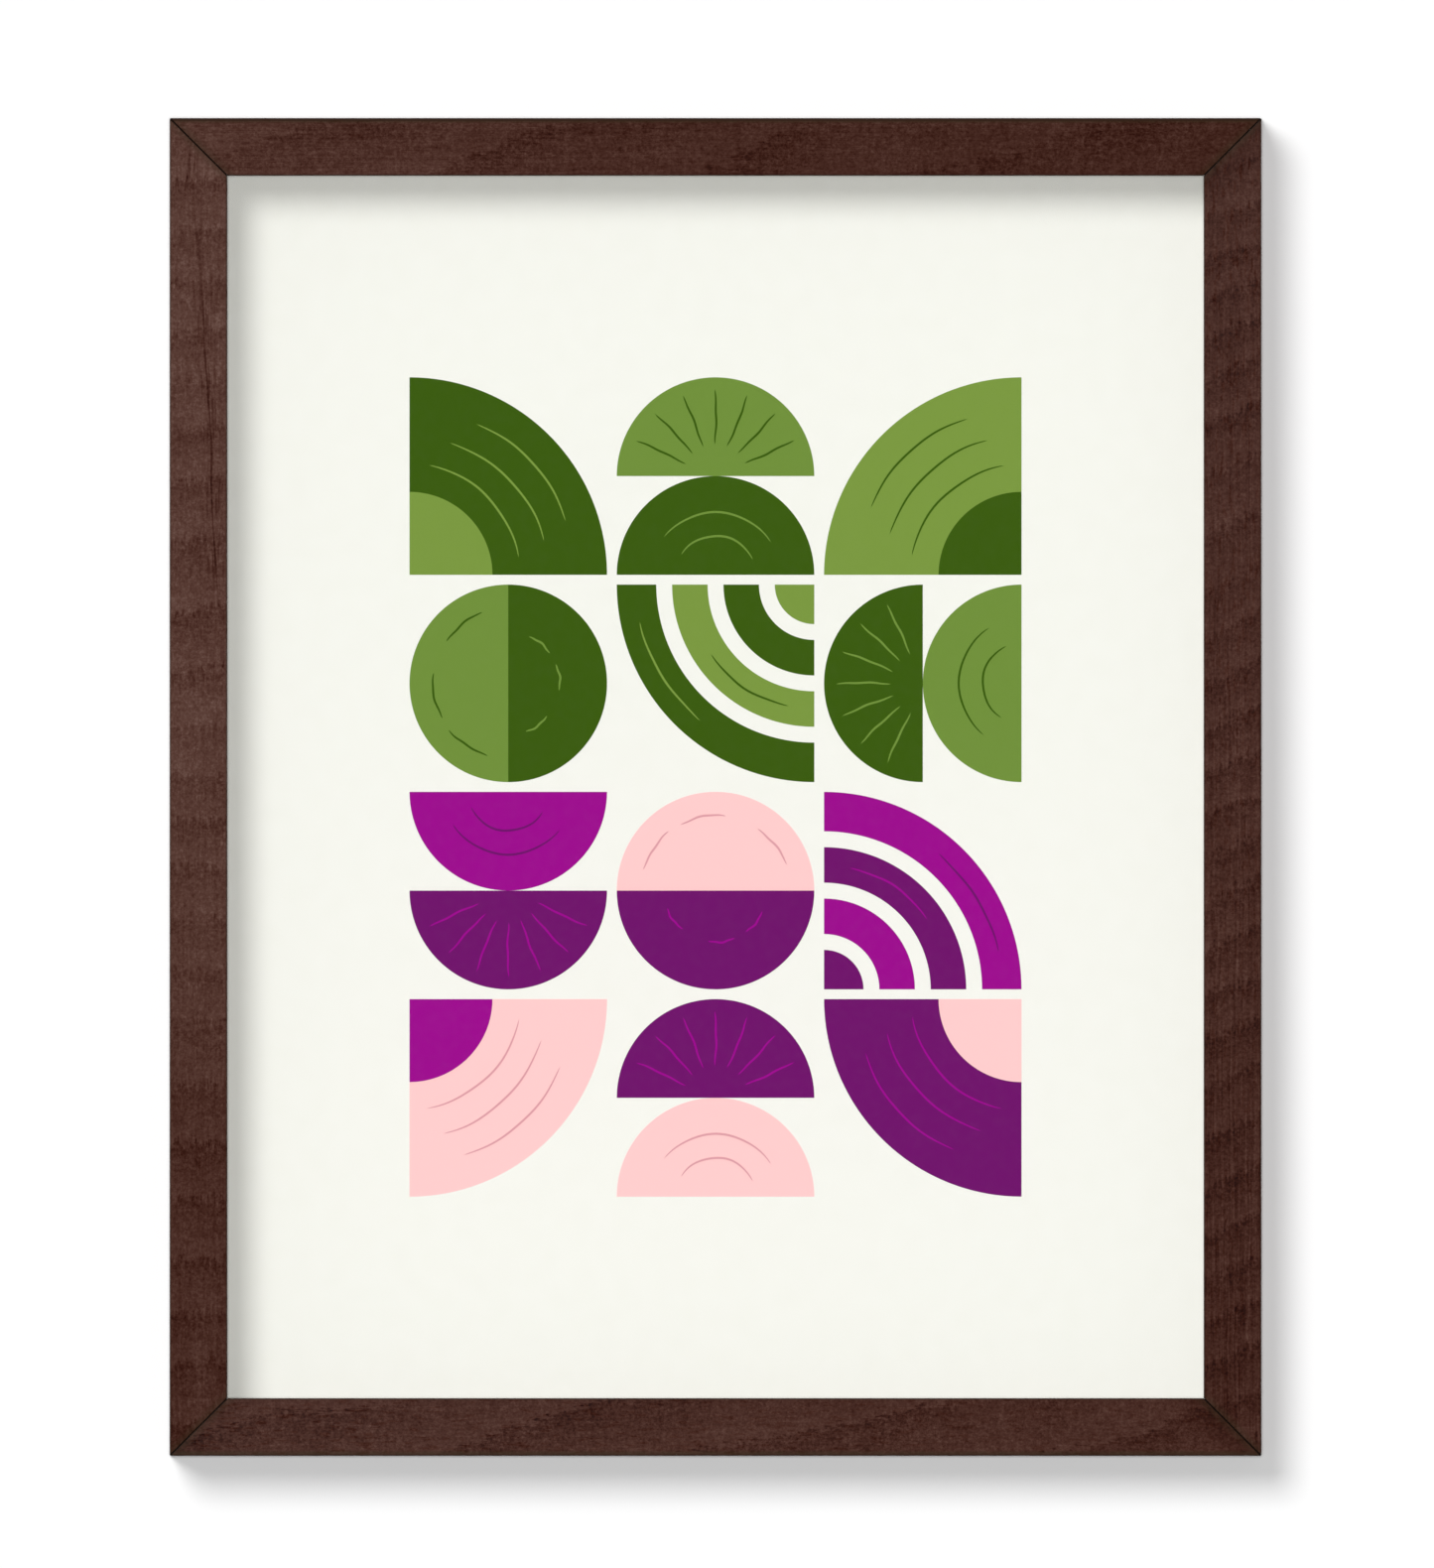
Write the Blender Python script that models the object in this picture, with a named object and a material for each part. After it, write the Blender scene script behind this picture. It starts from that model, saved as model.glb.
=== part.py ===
"""A framed wall print at its real size, in metres, with +Z up.

The front faces -Y and the wall is the plane Y = 0. The origin is on the wall, where the nail meets the
middle notch of the hanger. "Out" is the distance across a rail from the sight edge, the edge of the
opening as it is seen from the front, towards the rail's outer side.
"""

import math

import bmesh
import bpy
from mathutils import Matrix, Vector

INCH = 0.0254
GAP = 0.0003  # between two pieces that touch

# Driving dimensions of the opening and of the rails
SIGHT_WIDTH = 0.4005
SIGHT_HEIGHT = 0.5014
FACE_WIDTH = 0.0236
RAIL_DEPTH = 1.25 * INCH
LIP_WIDTH = 0.0048
LIP_DEPTH = 0.006
ARRIS_RADIUS = 0.0006
ARRIS_STEPS = 3
BACK_CHAMFER = 0.0004

# What the rails hold, in its order from the front
SHEET_WIDTH = 16 * INCH
SHEET_HEIGHT = 20 * INCH
GLAZING_THICK = 0.002
SPACER_WIDTH = 0.0042
PRINT_THICK = 0.0005
BACKING_THICK = 0.0025
BACK_RECESS = 0.0022
SHEET_BEVEL = 0.0002

# Retaining points, driven into the rails over the backing
POINT_WIDTH = 0.006
POINT_THICK = 0.0005
POINT_OVER_BACKING = 0.009
POINT_IN_RAIL = 0.006
POINT_TIP = 0.003
POINT_CORNER = 0.001
POINTS_ACROSS = 3
POINTS_UP = 4

# V-nails, two across each mitre
V_NAIL_THICK = 0.0006
V_NAIL_LEG = 0.005
V_NAIL_DEPTH = 0.010
V_NAIL_OUTS = (0.009, 0.018)

# Sawtooth hanger, its nails, and the bumpers that are as thick as it stands proud
WALL_GAP = 0.003
HANGER_LENGTH = 0.064
HANGER_HEIGHT = 0.012
HANGER_THICK = 0.0009
HANGER_RAISED = 0.040
HANGER_SLOPE = 0.003
HANGER_WALL_GAP = 0.0003
TOOTH_DEPTH = 0.002
TOOTH_PITCH = 0.004
TOOTH_FLAT = 0.0008
NOTCHES = 9
NAIL_SHANK_RADIUS = 0.001
NAIL_HEAD_RADIUS = 0.0024
NAIL_HEAD_THICK = 0.0009
NAIL_LENGTH = 0.012
NAIL_X = 0.0275
NAIL_SIDES = 20
BUMPER_RADIUS = 0.005
BUMPER_FLAT_RADIUS = 0.0038
BUMPER_FROM_SIDE = 0.035
BUMPER_SIDES = 28

# Places worked out from the sizes above
BACK_Y = -WALL_GAP
FRONT_Y = BACK_Y - RAIL_DEPTH
LIP_BACK_Y = FRONT_Y + LIP_DEPTH
GLAZING_Y = (LIP_BACK_Y + GAP, LIP_BACK_Y + GAP + GLAZING_THICK)
BACKING_Y = (BACK_Y - BACK_RECESS - BACKING_THICK, BACK_Y - BACK_RECESS)
PRINT_Y = (BACKING_Y[0] - GAP - PRINT_THICK, BACKING_Y[0] - GAP)
SPACER_Y = (GLAZING_Y[1] + GAP, PRINT_Y[0] - GAP)
POINT_Y = (BACKING_Y[1] + GAP, BACKING_Y[1] + GAP + POINT_THICK)
RAIL_BACK_WIDTH = FACE_WIDTH - LIP_WIDTH
HANGER_Z = (-TOOTH_DEPTH, HANGER_HEIGHT - TOOTH_DEPTH)
HANGER_MIDDLE_Z = sum(HANGER_Z) / 2
TOP_Z = HANGER_MIDDLE_Z + RAIL_BACK_WIDTH / 2
CENTRE_Z = TOP_Z - FACE_WIDTH - SIGHT_HEIGHT / 2
OUTER_HALF_WIDTH = SIGHT_WIDTH / 2 + FACE_WIDTH
BOTTOM_Z = TOP_Z - SIGHT_HEIGHT - 2 * FACE_WIDTH

# Each rail's name, its turn about +Y from the top rail's place, the sight edge's half length along it
# and that edge's distance from the centre of the frame
SIDES = (
    ("top", 0, SIGHT_WIDTH / 2, SIGHT_HEIGHT / 2),
    ("right", 90, SIGHT_HEIGHT / 2, SIGHT_WIDTH / 2),
    ("bottom", 180, SIGHT_WIDTH / 2, SIGHT_HEIGHT / 2),
    ("left", 270, SIGHT_HEIGHT / 2, SIGHT_WIDTH / 2),
)


def clear_scene():
    for old in list(bpy.data.objects):
        bpy.data.objects.remove(old)


def linear(red, green, blue):
    """A colour in the usual 0 to 255 values as the shader's linear numbers."""
    shares = [value / 255 for value in (red, green, blue)]
    curve = [c / 12.92 if c <= 0.04045 else ((c + 0.055) / 1.055) ** 2.4 for c in shares]
    return (*curve, 1.0)


def material(name, colour, roughness, metallic=0.0, alpha=1.0):
    made = bpy.data.materials.new(name)
    made.use_nodes = True
    shader = made.node_tree.nodes["Principled BSDF"]
    shader.inputs["Base Color"].default_value = colour
    shader.inputs["Roughness"].default_value = roughness
    shader.inputs["Metallic"].default_value = metallic
    shader.inputs["Alpha"].default_value = alpha
    made.diffuse_color = colour
    return made


def new_object(name, shape, finish, collection=None):
    """A named object from a bmesh whose faces are first turned outwards."""
    bmesh.ops.recalc_face_normals(shape, faces=shape.faces)
    mesh = bpy.data.meshes.new(name)
    shape.to_mesh(mesh)
    shape.free()
    made = bpy.data.objects.new(name, mesh)
    (collection or bpy.context.scene.collection).objects.link(made)
    if finish:
        mesh.materials.append(finish)
    return made


def between_rings(first, second):
    """The closed solid between two rings of points that match one to one."""
    shape = bmesh.new()
    start = [shape.verts.new(point) for point in first]
    end = [shape.verts.new(point) for point in second]
    shape.faces.new(start)
    shape.faces.new(end)
    for i in range(len(start)):
        j = (i + 1) % len(start)
        shape.faces.new((start[i], start[j], end[j], end[i]))
    return shape


def plate(outline, depths):
    """An outline in X and Z, extruded along Y between two depths."""
    low, high = depths
    return between_rings([(x, low, z) for x, z in outline], [(x, high, z) for x, z in outline])


def rectangle(low_x, low_z, high_x, high_z):
    return [(low_x, low_z), (high_x, low_z), (high_x, high_z), (low_x, high_z)]


def turned(profile, sides):
    """A solid of revolution about an axis along Y, from (radius, y) points that start and end on it."""
    shape = bmesh.new()
    points = [shape.verts.new((radius, y, 0)) for radius, y in profile]
    edges = [shape.edges.new(pair) for pair in zip(points, points[1:])]
    bmesh.ops.spin(
        shape, geom=points + edges, cent=(0, 0, 0), axis=(0, 1, 0), angle=math.tau, steps=sides
    )
    bmesh.ops.remove_doubles(shape, verts=shape.verts, dist=1e-6)
    return shape


def bevel_edges(made, width):
    edges = made.modifiers.new("edges", "BEVEL")
    edges.width = width
    edges.segments = 1


def shade_round(made):
    made.data.shade_smooth()
    made.data.set_sharp_from_angle(angle=math.radians(35))


def cut_with(made, cutters, name="pockets"):
    cut = made.modifiers.new(name, "BOOLEAN")
    cut.operation = "DIFFERENCE"
    cut.solver = "EXACT"
    cut.operand_type = "COLLECTION"
    cut.collection = cutters


def cutter_collection(name):
    made = bpy.data.collections.new(name)
    bpy.context.scene.collection.children.link(made)
    return made


def cutter(name, shape, collection):
    made = new_object(name, shape, None, collection)
    made.hide_render = True
    made.display_type = "WIRE"
    return made


def side_matrix(turn):
    """From the top rail's place about the frame's centre to another rail's place in the world."""
    return Matrix.Translation((0, 0, CENTRE_Z)) @ Matrix.Rotation(math.radians(turn), 4, "Y")


def arris(centre_out, centre_y, start_degrees):
    """A quarter circle of the arris radius in (out, y), from a start angle on."""
    angles = [math.radians(start_degrees + 90 * i / ARRIS_STEPS) for i in range(ARRIS_STEPS + 1)]
    return [
        (centre_out + ARRIS_RADIUS * math.cos(a), centre_y + ARRIS_RADIUS * math.sin(a)) for a in angles
    ]


def rail_profile():
    """The rail's section as (out, y) points: a flat face over a lip, with the rabbet behind the lip."""
    front = FRONT_Y + ARRIS_RADIUS
    return [
        *arris(ARRIS_RADIUS, front, 180),
        *arris(FACE_WIDTH - ARRIS_RADIUS, front, 270),
        (FACE_WIDTH, BACK_Y - BACK_CHAMFER),
        (FACE_WIDTH - BACK_CHAMFER, BACK_Y),
        (LIP_WIDTH, BACK_Y),
        (LIP_WIDTH, LIP_BACK_Y),
        (0, LIP_BACK_Y),
    ]


def make_rails(finish, pockets):
    """Each end is cut at 45 degrees, so a point's place along the rail grows with its place out."""
    end_clearance = GAP / 2 * math.sqrt(2)
    for side, turn, half_length, distance in SIDES:
        ends = []
        for direction in (-1, 1):
            ring = []
            for out, y in rail_profile():
                along = half_length + out - end_clearance
                ring.append((direction * along, y, distance + out))
            ends.append(ring)
        rail = new_object("rail_" + side, between_rings(*ends), finish)
        rail.matrix_world = side_matrix(turn)
        cut_with(rail, pockets)


def make_sheets(glazing_finish, print_finish, backing_finish):
    """Glazing, print and backing are cut to one size, a little smaller than the rabbet."""
    outline = rectangle(
        -SHEET_WIDTH / 2,
        CENTRE_Z - SHEET_HEIGHT / 2,
        SHEET_WIDTH / 2,
        CENTRE_Z + SHEET_HEIGHT / 2,
    )
    glazing = new_object("glazing", plate(outline, GLAZING_Y), glazing_finish)
    bevel_edges(glazing, SHEET_BEVEL)
    new_object("print", plate(outline, PRINT_Y), print_finish)
    backing = new_object("backing", plate(outline, BACKING_Y), backing_finish)
    bevel_edges(backing, SHEET_BEVEL)


def make_spacers(finish):
    """The upright spacers run the rabbet's whole height, and the level ones fit between them."""
    wall = LIP_WIDTH - GAP
    inner = wall - SPACER_WIDTH
    for side, turn, half_length, distance in SIDES:
        upright = side in ("left", "right")
        half = half_length + (wall if upright else inner - GAP)
        outline = rectangle(-half, distance + inner, half, distance + wall)
        spacer = new_object("spacer_" + side, plate(outline, SPACER_Y), finish)
        spacer.matrix_world = side_matrix(turn)
        bevel_edges(spacer, SHEET_BEVEL)


def point_outline(grow=0.0):
    """A flat steel point in X and Z, with Z = 0 at the rabbet's wall and its tip in the rail."""
    half = POINT_WIDTH / 2 + grow
    inside = POINT_OVER_BACKING + grow
    shoulder = POINT_IN_RAIL - POINT_TIP + grow
    return [
        (-half + POINT_CORNER, -inside),
        (half - POINT_CORNER, -inside),
        (half, -inside + POINT_CORNER),
        (half, shoulder),
        (0, POINT_IN_RAIL + 1.5 * grow),
        (-half, shoulder),
        (-half, -inside + POINT_CORNER),
    ]


def make_points(finish, pockets):
    """Evenly spaced along each side of the rabbet, each in a slot that clears it all round."""
    slot_depths = (POINT_Y[0] - GAP, POINT_Y[1] + GAP)
    for side, turn, half_length, distance in SIDES:
        count = POINTS_UP if side in ("left", "right") else POINTS_ACROSS
        spacing = 2 * (half_length + LIP_WIDTH) / count
        for i in range(count):
            along = spacing * (i + 0.5 - count / 2)
            place = side_matrix(turn) @ Matrix.Translation((along, 0, distance + LIP_WIDTH))
            name = f"{side}_{i + 1}"
            point = new_object("point_" + name, plate(point_outline(), POINT_Y), finish)
            point.matrix_world = place
            slot = cutter("slot_" + name, plate(point_outline(GAP), slot_depths), pockets)
            slot.matrix_world = place


def v_outline(grow=0.0):
    """Two legs at a right angle, each along one rail, that meet on the mitre at the origin."""
    half = V_NAIL_THICK / 2 + grow
    leg = V_NAIL_LEG + grow
    return [(half, half), (-leg, half), (-leg, -half), (-half, -half), (-half, -leg), (half, -leg)]


def make_v_nails(finish, pockets):
    """Two across each mitre, driven in from the back and sunk a little below it."""
    nail_depths = (BACK_Y - GAP - V_NAIL_DEPTH, BACK_Y - GAP)
    pocket_depths = (nail_depths[0] - GAP, BACK_Y + WALL_GAP / 2)
    corners = (("top_right", 1, 1), ("bottom_right", 1, -1), ("bottom_left", -1, -1), ("top_left", -1, 1))
    for corner, right, up in corners:
        for i, out in enumerate(V_NAIL_OUTS):
            x = right * (SIGHT_WIDTH / 2 + out)
            z = CENTRE_Z + up * (SIGHT_HEIGHT / 2 + out)
            name = f"{corner}_{i + 1}"
            outline = [(x + right * a, z + up * b) for a, b in v_outline()]
            new_object("v_nail_" + name, plate(outline, nail_depths), finish)
            pocket = [(x + right * a, z + up * b) for a, b in v_outline(GAP)]
            cutter("v_pocket_" + name, plate(pocket, pocket_depths), pockets)


def hanger_profile():
    """The bent strip's section as (x, y) points: flat tabs on the rail and a raised middle."""
    tab_y = BACK_Y + GAP + HANGER_THICK
    raised_y = -HANGER_WALL_GAP
    end = HANGER_LENGTH / 2
    top = HANGER_RAISED / 2
    foot = top + HANGER_SLOPE
    shift = HANGER_THICK * math.tan(math.atan2(raised_y - tab_y, HANGER_SLOPE) / 2)
    wall_side = [(end, tab_y), (foot, tab_y), (top, raised_y)]
    rail_side = [(x - shift if x < end else x, y - HANGER_THICK) for x, y in wall_side]
    half = wall_side + [(-x, y) for x, y in reversed(wall_side)]
    other = [(-x, y) for x, y in rail_side] + list(reversed(rail_side))
    return half + other


def make_hanger(finish, nail_finish, pockets):
    """A steel strip with a notched lower edge, held to the top rail by a nail through each tab."""
    cuts = cutter_collection("hanger_cuts")
    rings = [[(x, y, z) for x, y in hanger_profile()] for z in HANGER_Z]
    hanger = new_object("hanger", between_rings(*rings), finish)
    through = (BACK_Y - WALL_GAP, WALL_GAP)
    below = TOOTH_DEPTH * 1.5
    half_base = (TOOTH_PITCH - TOOTH_FLAT) / 2 * below / TOOTH_DEPTH
    for i in range(NOTCHES):
        x = TOOTH_PITCH * (i - (NOTCHES - 1) / 2)
        notch = [(x - half_base, -below), (x + half_base, -below), (x, 0)]
        cutter(f"notch_{i + 1}", plate(notch, through), cuts)
    hole_radius = NAIL_SHANK_RADIUS + GAP
    hole_end = BACK_Y - NAIL_LENGTH - GAP
    head_y = BACK_Y + GAP + HANGER_THICK + GAP
    shank_end = head_y - NAIL_LENGTH
    nail = [
        (0, shank_end),
        (NAIL_SHANK_RADIUS, shank_end + 2 * NAIL_SHANK_RADIUS),
        (NAIL_SHANK_RADIUS, head_y),
        (NAIL_HEAD_RADIUS, head_y),
        (NAIL_HEAD_RADIUS, head_y + NAIL_HEAD_THICK / 3),
        (NAIL_HEAD_RADIUS * 0.72, head_y + NAIL_HEAD_THICK * 0.85),
        (0, head_y + NAIL_HEAD_THICK),
    ]
    hole = [(0, hole_end), (hole_radius, hole_end), (hole_radius, WALL_GAP), (0, WALL_GAP)]
    for side, x in (("left", -NAIL_X), ("right", NAIL_X)):
        place = Vector((x, 0, HANGER_MIDDLE_Z))
        made = new_object("hanger_nail_" + side, turned(nail, NAIL_SIDES), nail_finish)
        made.location = place
        shade_round(made)
        cutter("tab_hole_" + side, turned(hole, NAIL_SIDES), cuts).location = place
        cutter("nail_hole_" + side, turned(hole, NAIL_SIDES), pockets).location = place
    cut_with(hanger, cuts, "teeth_and_holes")


def make_bumpers(finish):
    """Round rubber pads whose flat backs touch the wall."""
    start = BACK_Y + GAP
    profile = [
        (0, start),
        (BUMPER_RADIUS, start),
        (BUMPER_RADIUS, start / 2),
        (BUMPER_RADIUS - 0.0004, start / 5),
        (BUMPER_FLAT_RADIUS, 0),
        (0, 0),
    ]
    z = BOTTOM_Z + RAIL_BACK_WIDTH / 2
    for side, direction in (("left", -1), ("right", 1)):
        bumper = new_object("bumper_" + side, turned(profile, BUMPER_SIDES), finish)
        bumper.location = (direction * (OUTER_HALF_WIDTH - BUMPER_FROM_SIDE), 0, z)
        shade_round(bumper)


def main():
    clear_scene()
    stained_wood = material("stained_wood", linear(76, 49, 42), 0.55)
    dark_wood = material("spacer_wood", linear(62, 42, 36), 0.6)
    acrylic = material("clear_acrylic", linear(250, 252, 252), 0.05, alpha=0.08)
    paper = material("art_paper", linear(247, 247, 239), 0.85)
    hardboard = material("hardboard", linear(148, 110, 74), 0.75)
    zinc = material("zinc_steel", linear(186, 188, 186), 0.35, metallic=1.0)
    brassed = material("brassed_steel", linear(196, 164, 96), 0.3, metallic=1.0)
    rubber = material("rubber", linear(44, 44, 46), 0.8)

    pockets = cutter_collection("rail_pockets")
    make_sheets(acrylic, paper, hardboard)
    make_spacers(dark_wood)
    make_points(zinc, pockets)
    make_v_nails(zinc, pockets)
    make_hanger(brassed, brassed, pockets)
    make_bumpers(rubber)
    make_rails(stained_wood, pockets)


main()
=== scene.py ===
# %% [markdown]
# # Dressing a framed wall print
#
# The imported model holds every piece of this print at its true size: four mitred rails, a clear glazing
# sheet, spacers, the paper, a hardboard back and the small hardware on the back. This lesson gives those
# pieces their looks. The rails, the metal and the rubber are modelled again as finer surfaces, the sheets
# and the spacers keep their solids, and each one gets a material that is drawn by nodes alone.
#
# Everything is in metres in the model's own frame: X to the right, Z up, and Y into the wall. So a size
# that is read from the model can be used as it is.

# %% Load the model
import math

import bmesh
import bpy
import numpy as np
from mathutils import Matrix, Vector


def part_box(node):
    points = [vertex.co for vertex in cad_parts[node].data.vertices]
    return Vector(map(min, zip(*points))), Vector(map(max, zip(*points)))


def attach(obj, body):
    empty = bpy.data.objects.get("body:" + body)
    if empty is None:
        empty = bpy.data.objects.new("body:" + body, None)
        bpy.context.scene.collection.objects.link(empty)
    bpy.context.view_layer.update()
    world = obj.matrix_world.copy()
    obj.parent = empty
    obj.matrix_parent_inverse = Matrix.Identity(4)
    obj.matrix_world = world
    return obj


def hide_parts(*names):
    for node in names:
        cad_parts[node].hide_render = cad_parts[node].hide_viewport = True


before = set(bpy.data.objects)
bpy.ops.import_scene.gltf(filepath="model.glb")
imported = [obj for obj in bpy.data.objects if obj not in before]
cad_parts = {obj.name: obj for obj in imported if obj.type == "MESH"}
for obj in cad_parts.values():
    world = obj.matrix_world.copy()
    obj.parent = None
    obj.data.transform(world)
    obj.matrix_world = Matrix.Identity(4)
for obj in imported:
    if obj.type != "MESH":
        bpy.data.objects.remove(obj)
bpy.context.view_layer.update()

# %% [markdown]
# ## Sizes from the model
#
# A frame maker describes a rail by its section: how wide the face is, how deep the rail is, and how far
# the lip laps over the glass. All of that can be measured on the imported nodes, so no size is typed twice.
# "Out" below is the distance across a rail from the sight edge, the edge of the opening.

# %% Measure the model
CLEARANCE = 0.0003  # the gap that the model keeps between two pieces that touch

rail_low, rail_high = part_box("rail_top")
left_low, left_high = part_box("rail_left")
sheet_low, sheet_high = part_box("glazing")
paper_low, paper_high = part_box("print")
board_low, board_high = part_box("backing")
spacer_low, spacer_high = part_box("spacer_left")

FRONT_Y, BACK_Y = rail_low.y, rail_high.y
TOP_Z, BOTTOM_Z = rail_high.z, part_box("rail_bottom")[0].z
CENTRE_Z = (TOP_Z + BOTTOM_Z) / 2
OUTER_HALF_WIDTH = -left_low.x
OUTER_HALF_HEIGHT = (TOP_Z - BOTTOM_Z) / 2
FACE_WIDTH = left_high.x - left_low.x
SIGHT_HALF_WIDTH = OUTER_HALF_WIDTH - FACE_WIDTH
SIGHT_HALF_HEIGHT = OUTER_HALF_HEIGHT - FACE_WIDTH
LIP_BACK_Y = sheet_low.y - CLEARANCE
LIP_WIDTH = -SIGHT_HALF_WIDTH - spacer_low.x + CLEARANCE
PAPER_Y = paper_low.y
print("opening %.1f x %.1f mm" % (2000 * SIGHT_HALF_WIDTH, 2000 * SIGHT_HALF_HEIGHT))
print("face %.1f mm, lip %.1f mm" % (1000 * FACE_WIDTH, 1000 * LIP_WIDTH))

# %% [markdown]
# ## Camera
#
# The photograph looks straight at the print, and no inner wall of the frame shows on any side. Only a
# very long lens does that, so an orthographic camera is the honest choice. Its scale is the height of
# the picture in metres: the number of pixels times the size of one pixel at the frame.

# %% Camera
PICTURE_PIXELS = (1445, 1580)
PIXEL = 0.000407  # metres, from the 16 inch sheet that the opening shows all but 3 mm a side of
FRAME_CENTRE_PIXEL = (721, 793)
CAMERA_DISTANCE = 1.5

camera_data = bpy.data.cameras.new("camera")
camera_data.type = "ORTHO"
camera_data.ortho_scale = PICTURE_PIXELS[1] * PIXEL
camera = bpy.data.objects.new("camera", camera_data)
camera.location = (
    (PICTURE_PIXELS[0] / 2 - FRAME_CENTRE_PIXEL[0]) * PIXEL,
    FRONT_Y - CAMERA_DISTANCE,
    CENTRE_Z + (FRAME_CENTRE_PIXEL[1] - PICTURE_PIXELS[1] / 2) * PIXEL,
)
camera.rotation_euler = (math.pi / 2, 0, 0)
bpy.context.scene.collection.objects.link(camera)
bpy.context.scene.camera = camera
print("camera shows %.3f m from top to bottom" % camera_data.ortho_scale)

# %% [markdown]
# ## Drawing a material as arithmetic
#
# A node tree is a formula, and it reads best as one. `Signal` wraps one output socket and answers to
# plus, minus and times by adding the Math node that does it, so a mask can be written `1 - edge * 0.5`.
# `Finish` is one material being drawn. Its method `add` makes any other node: first the settings, then
# the values or links of its sockets.


# %% Signals
def operator(operation, reflected=False):
    """The method that adds one Math node, with the two values swapped for a reflected operator."""

    def work(self, other):
        pair = (other, self) if reflected else (self, other)
        return self.finish.add("Math", {"operation": operation}, dict(enumerate(pair)))

    return work


class Signal:
    """A number that changes over a surface. Arithmetic on it adds the nodes that work it out."""

    def __init__(self, finish, socket):
        self.finish = finish
        self.socket = socket

    __add__ = operator("ADD")
    __radd__ = operator("ADD", reflected=True)
    __sub__ = operator("SUBTRACT")
    __rsub__ = operator("SUBTRACT", reflected=True)
    __mul__ = operator("MULTIPLY")
    __rmul__ = operator("MULTIPLY", reflected=True)
    __pow__ = operator("POWER")
    least = operator("MINIMUM")
    most = operator("MAXIMUM")

    def __abs__(self):
        return self.finish.add("Math", {"operation": "ABSOLUTE"}, {0: self})

    def fraction(self):
        """What is left over the whole number below: a saw that climbs from 0 to 1 and drops."""
        return self.finish.add("Math", {"operation": "FRACT"}, {0: self})

    def rise(self, start, end):
        """0 below start and 1 above end, with a smooth step between them."""
        limits = {"Value": self, "From Min": start, "From Max": end}
        return self.finish.add("MapRange", {"interpolation_type": "SMOOTHSTEP"}, limits)

    def fall(self, start, end):
        """1 below start and 0 above end: how a mark fades with the distance from it."""
        return 1 - self.rise(start, end)


# %% Finishes
class Finish:
    """A material, or the world, being drawn. Every node of it comes from the method add."""

    def __init__(self, name, kind="materials"):
        self.material = getattr(bpy.data, kind).new(name)
        self.material.use_nodes = True
        self.tree = self.material.node_tree
        self.tree.nodes.clear()

    def add(self, kind, settings=None, sockets=None, out=0):
        node = self.tree.nodes.new("ShaderNode" + kind)
        for setting, value in (settings or {}).items():
            if setting == "stops":
                set_stops(node.color_ramp, value)
            else:
                setattr(node, setting, value)
        for key, value in (sockets or {}).items():
            if isinstance(value, Signal):
                self.tree.links.new(value.socket, node.inputs[key])
            else:
                node.inputs[key].default_value = value
        return Signal(self, node.outputs[out]) if node.outputs else None

    def place(self):
        """The X, Y and Z of a point of the piece, in metres."""
        point = self.add("TexCoord", out="Object")
        return [self.add("SeparateXYZ", sockets={0: point}, out=axis) for axis in "XYZ"]

    def noise(self, x, y, z, detail=2.0, roughness=0.5):
        """Smooth noise from 0 to 1 at three coordinates, each already stretched to the pattern's scale."""
        point = self.add("CombineXYZ", sockets={0: x, 1: y, 2: z})
        return self.even(1.0, detail, roughness, point)

    def even(self, scale, detail=2.0, roughness=0.5, point=None):
        """Smooth noise from 0 to 1 that is equally fine every way. The scale is in marks to the metre."""
        point = point or self.add("TexCoord", out="Object")
        values = {"Vector": point, "Scale": scale, "Detail": detail, "Roughness": roughness}
        return self.add("TexNoise", sockets=values)

    def mix(self, share, first, second):
        """A colour between two colours."""
        return self.add("Mix", {"data_type": "RGBA"}, {0: share, 6: first, 7: second}, out=2)

    def show(self, shader):
        self.add("OutputMaterial", sockets={"Surface": shader})
        return self.material

    def surface(self, colour, roughness, height=None, depth=0.0, **others):
        """Ends the material with one Principled shader. A height from 0 to 1 stands for so many metres of
        depth, and any other socket is named with underscores."""
        sockets = {"Base Color": colour, "Roughness": roughness}
        if height:
            sockets["Normal"] = self.add("Bump", sockets={"Height": height, "Distance": depth})
        for name, value in others.items():
            sockets[name.replace("_", " ")] = value
        return self.show(self.add("BsdfPrincipled", sockets=sockets))


# %% Ramps and colours
def set_stops(ramp, stops):
    """Colour ramp stops from (place, colour) pairs. A new ramp has one stop at each end."""
    for place, _ in stops[1:-1]:
        ramp.elements.new(place)
    for element, (place, colour) in zip(ramp.elements, stops):
        element.position = place
        element.color = colour


def srgb(red, green, blue):
    """A colour as it is read off a screen, 0 to 255, in the linear numbers that shaders use."""
    shares = [value / 255 for value in (red, green, blue)]
    curve = [c / 12.92 if c <= 0.04045 else ((c + 0.055) / 1.055) ** 2.4 for c in shares]
    return (*curve, 1.0)


def grey(value):
    return (value, value, value, 1.0)


print("middle grey on a screen is", round(srgb(128, 128, 128)[0], 3), "in linear numbers")

# %% [markdown]
# ## Making a mesh from a formula
#
# Every new piece is a grid of points: some function of two parameters, worked out for the whole grid at
# once. Three steps are then the same for all of them. The grid's quads are numbered, points that fall
# on each other are welded so that seams and poles close, and the faces of a solid are turned outwards.

# %% Grids
QUARTER = np.linspace(0, math.pi / 2, 9)  # the angles of a rounded corner


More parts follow.
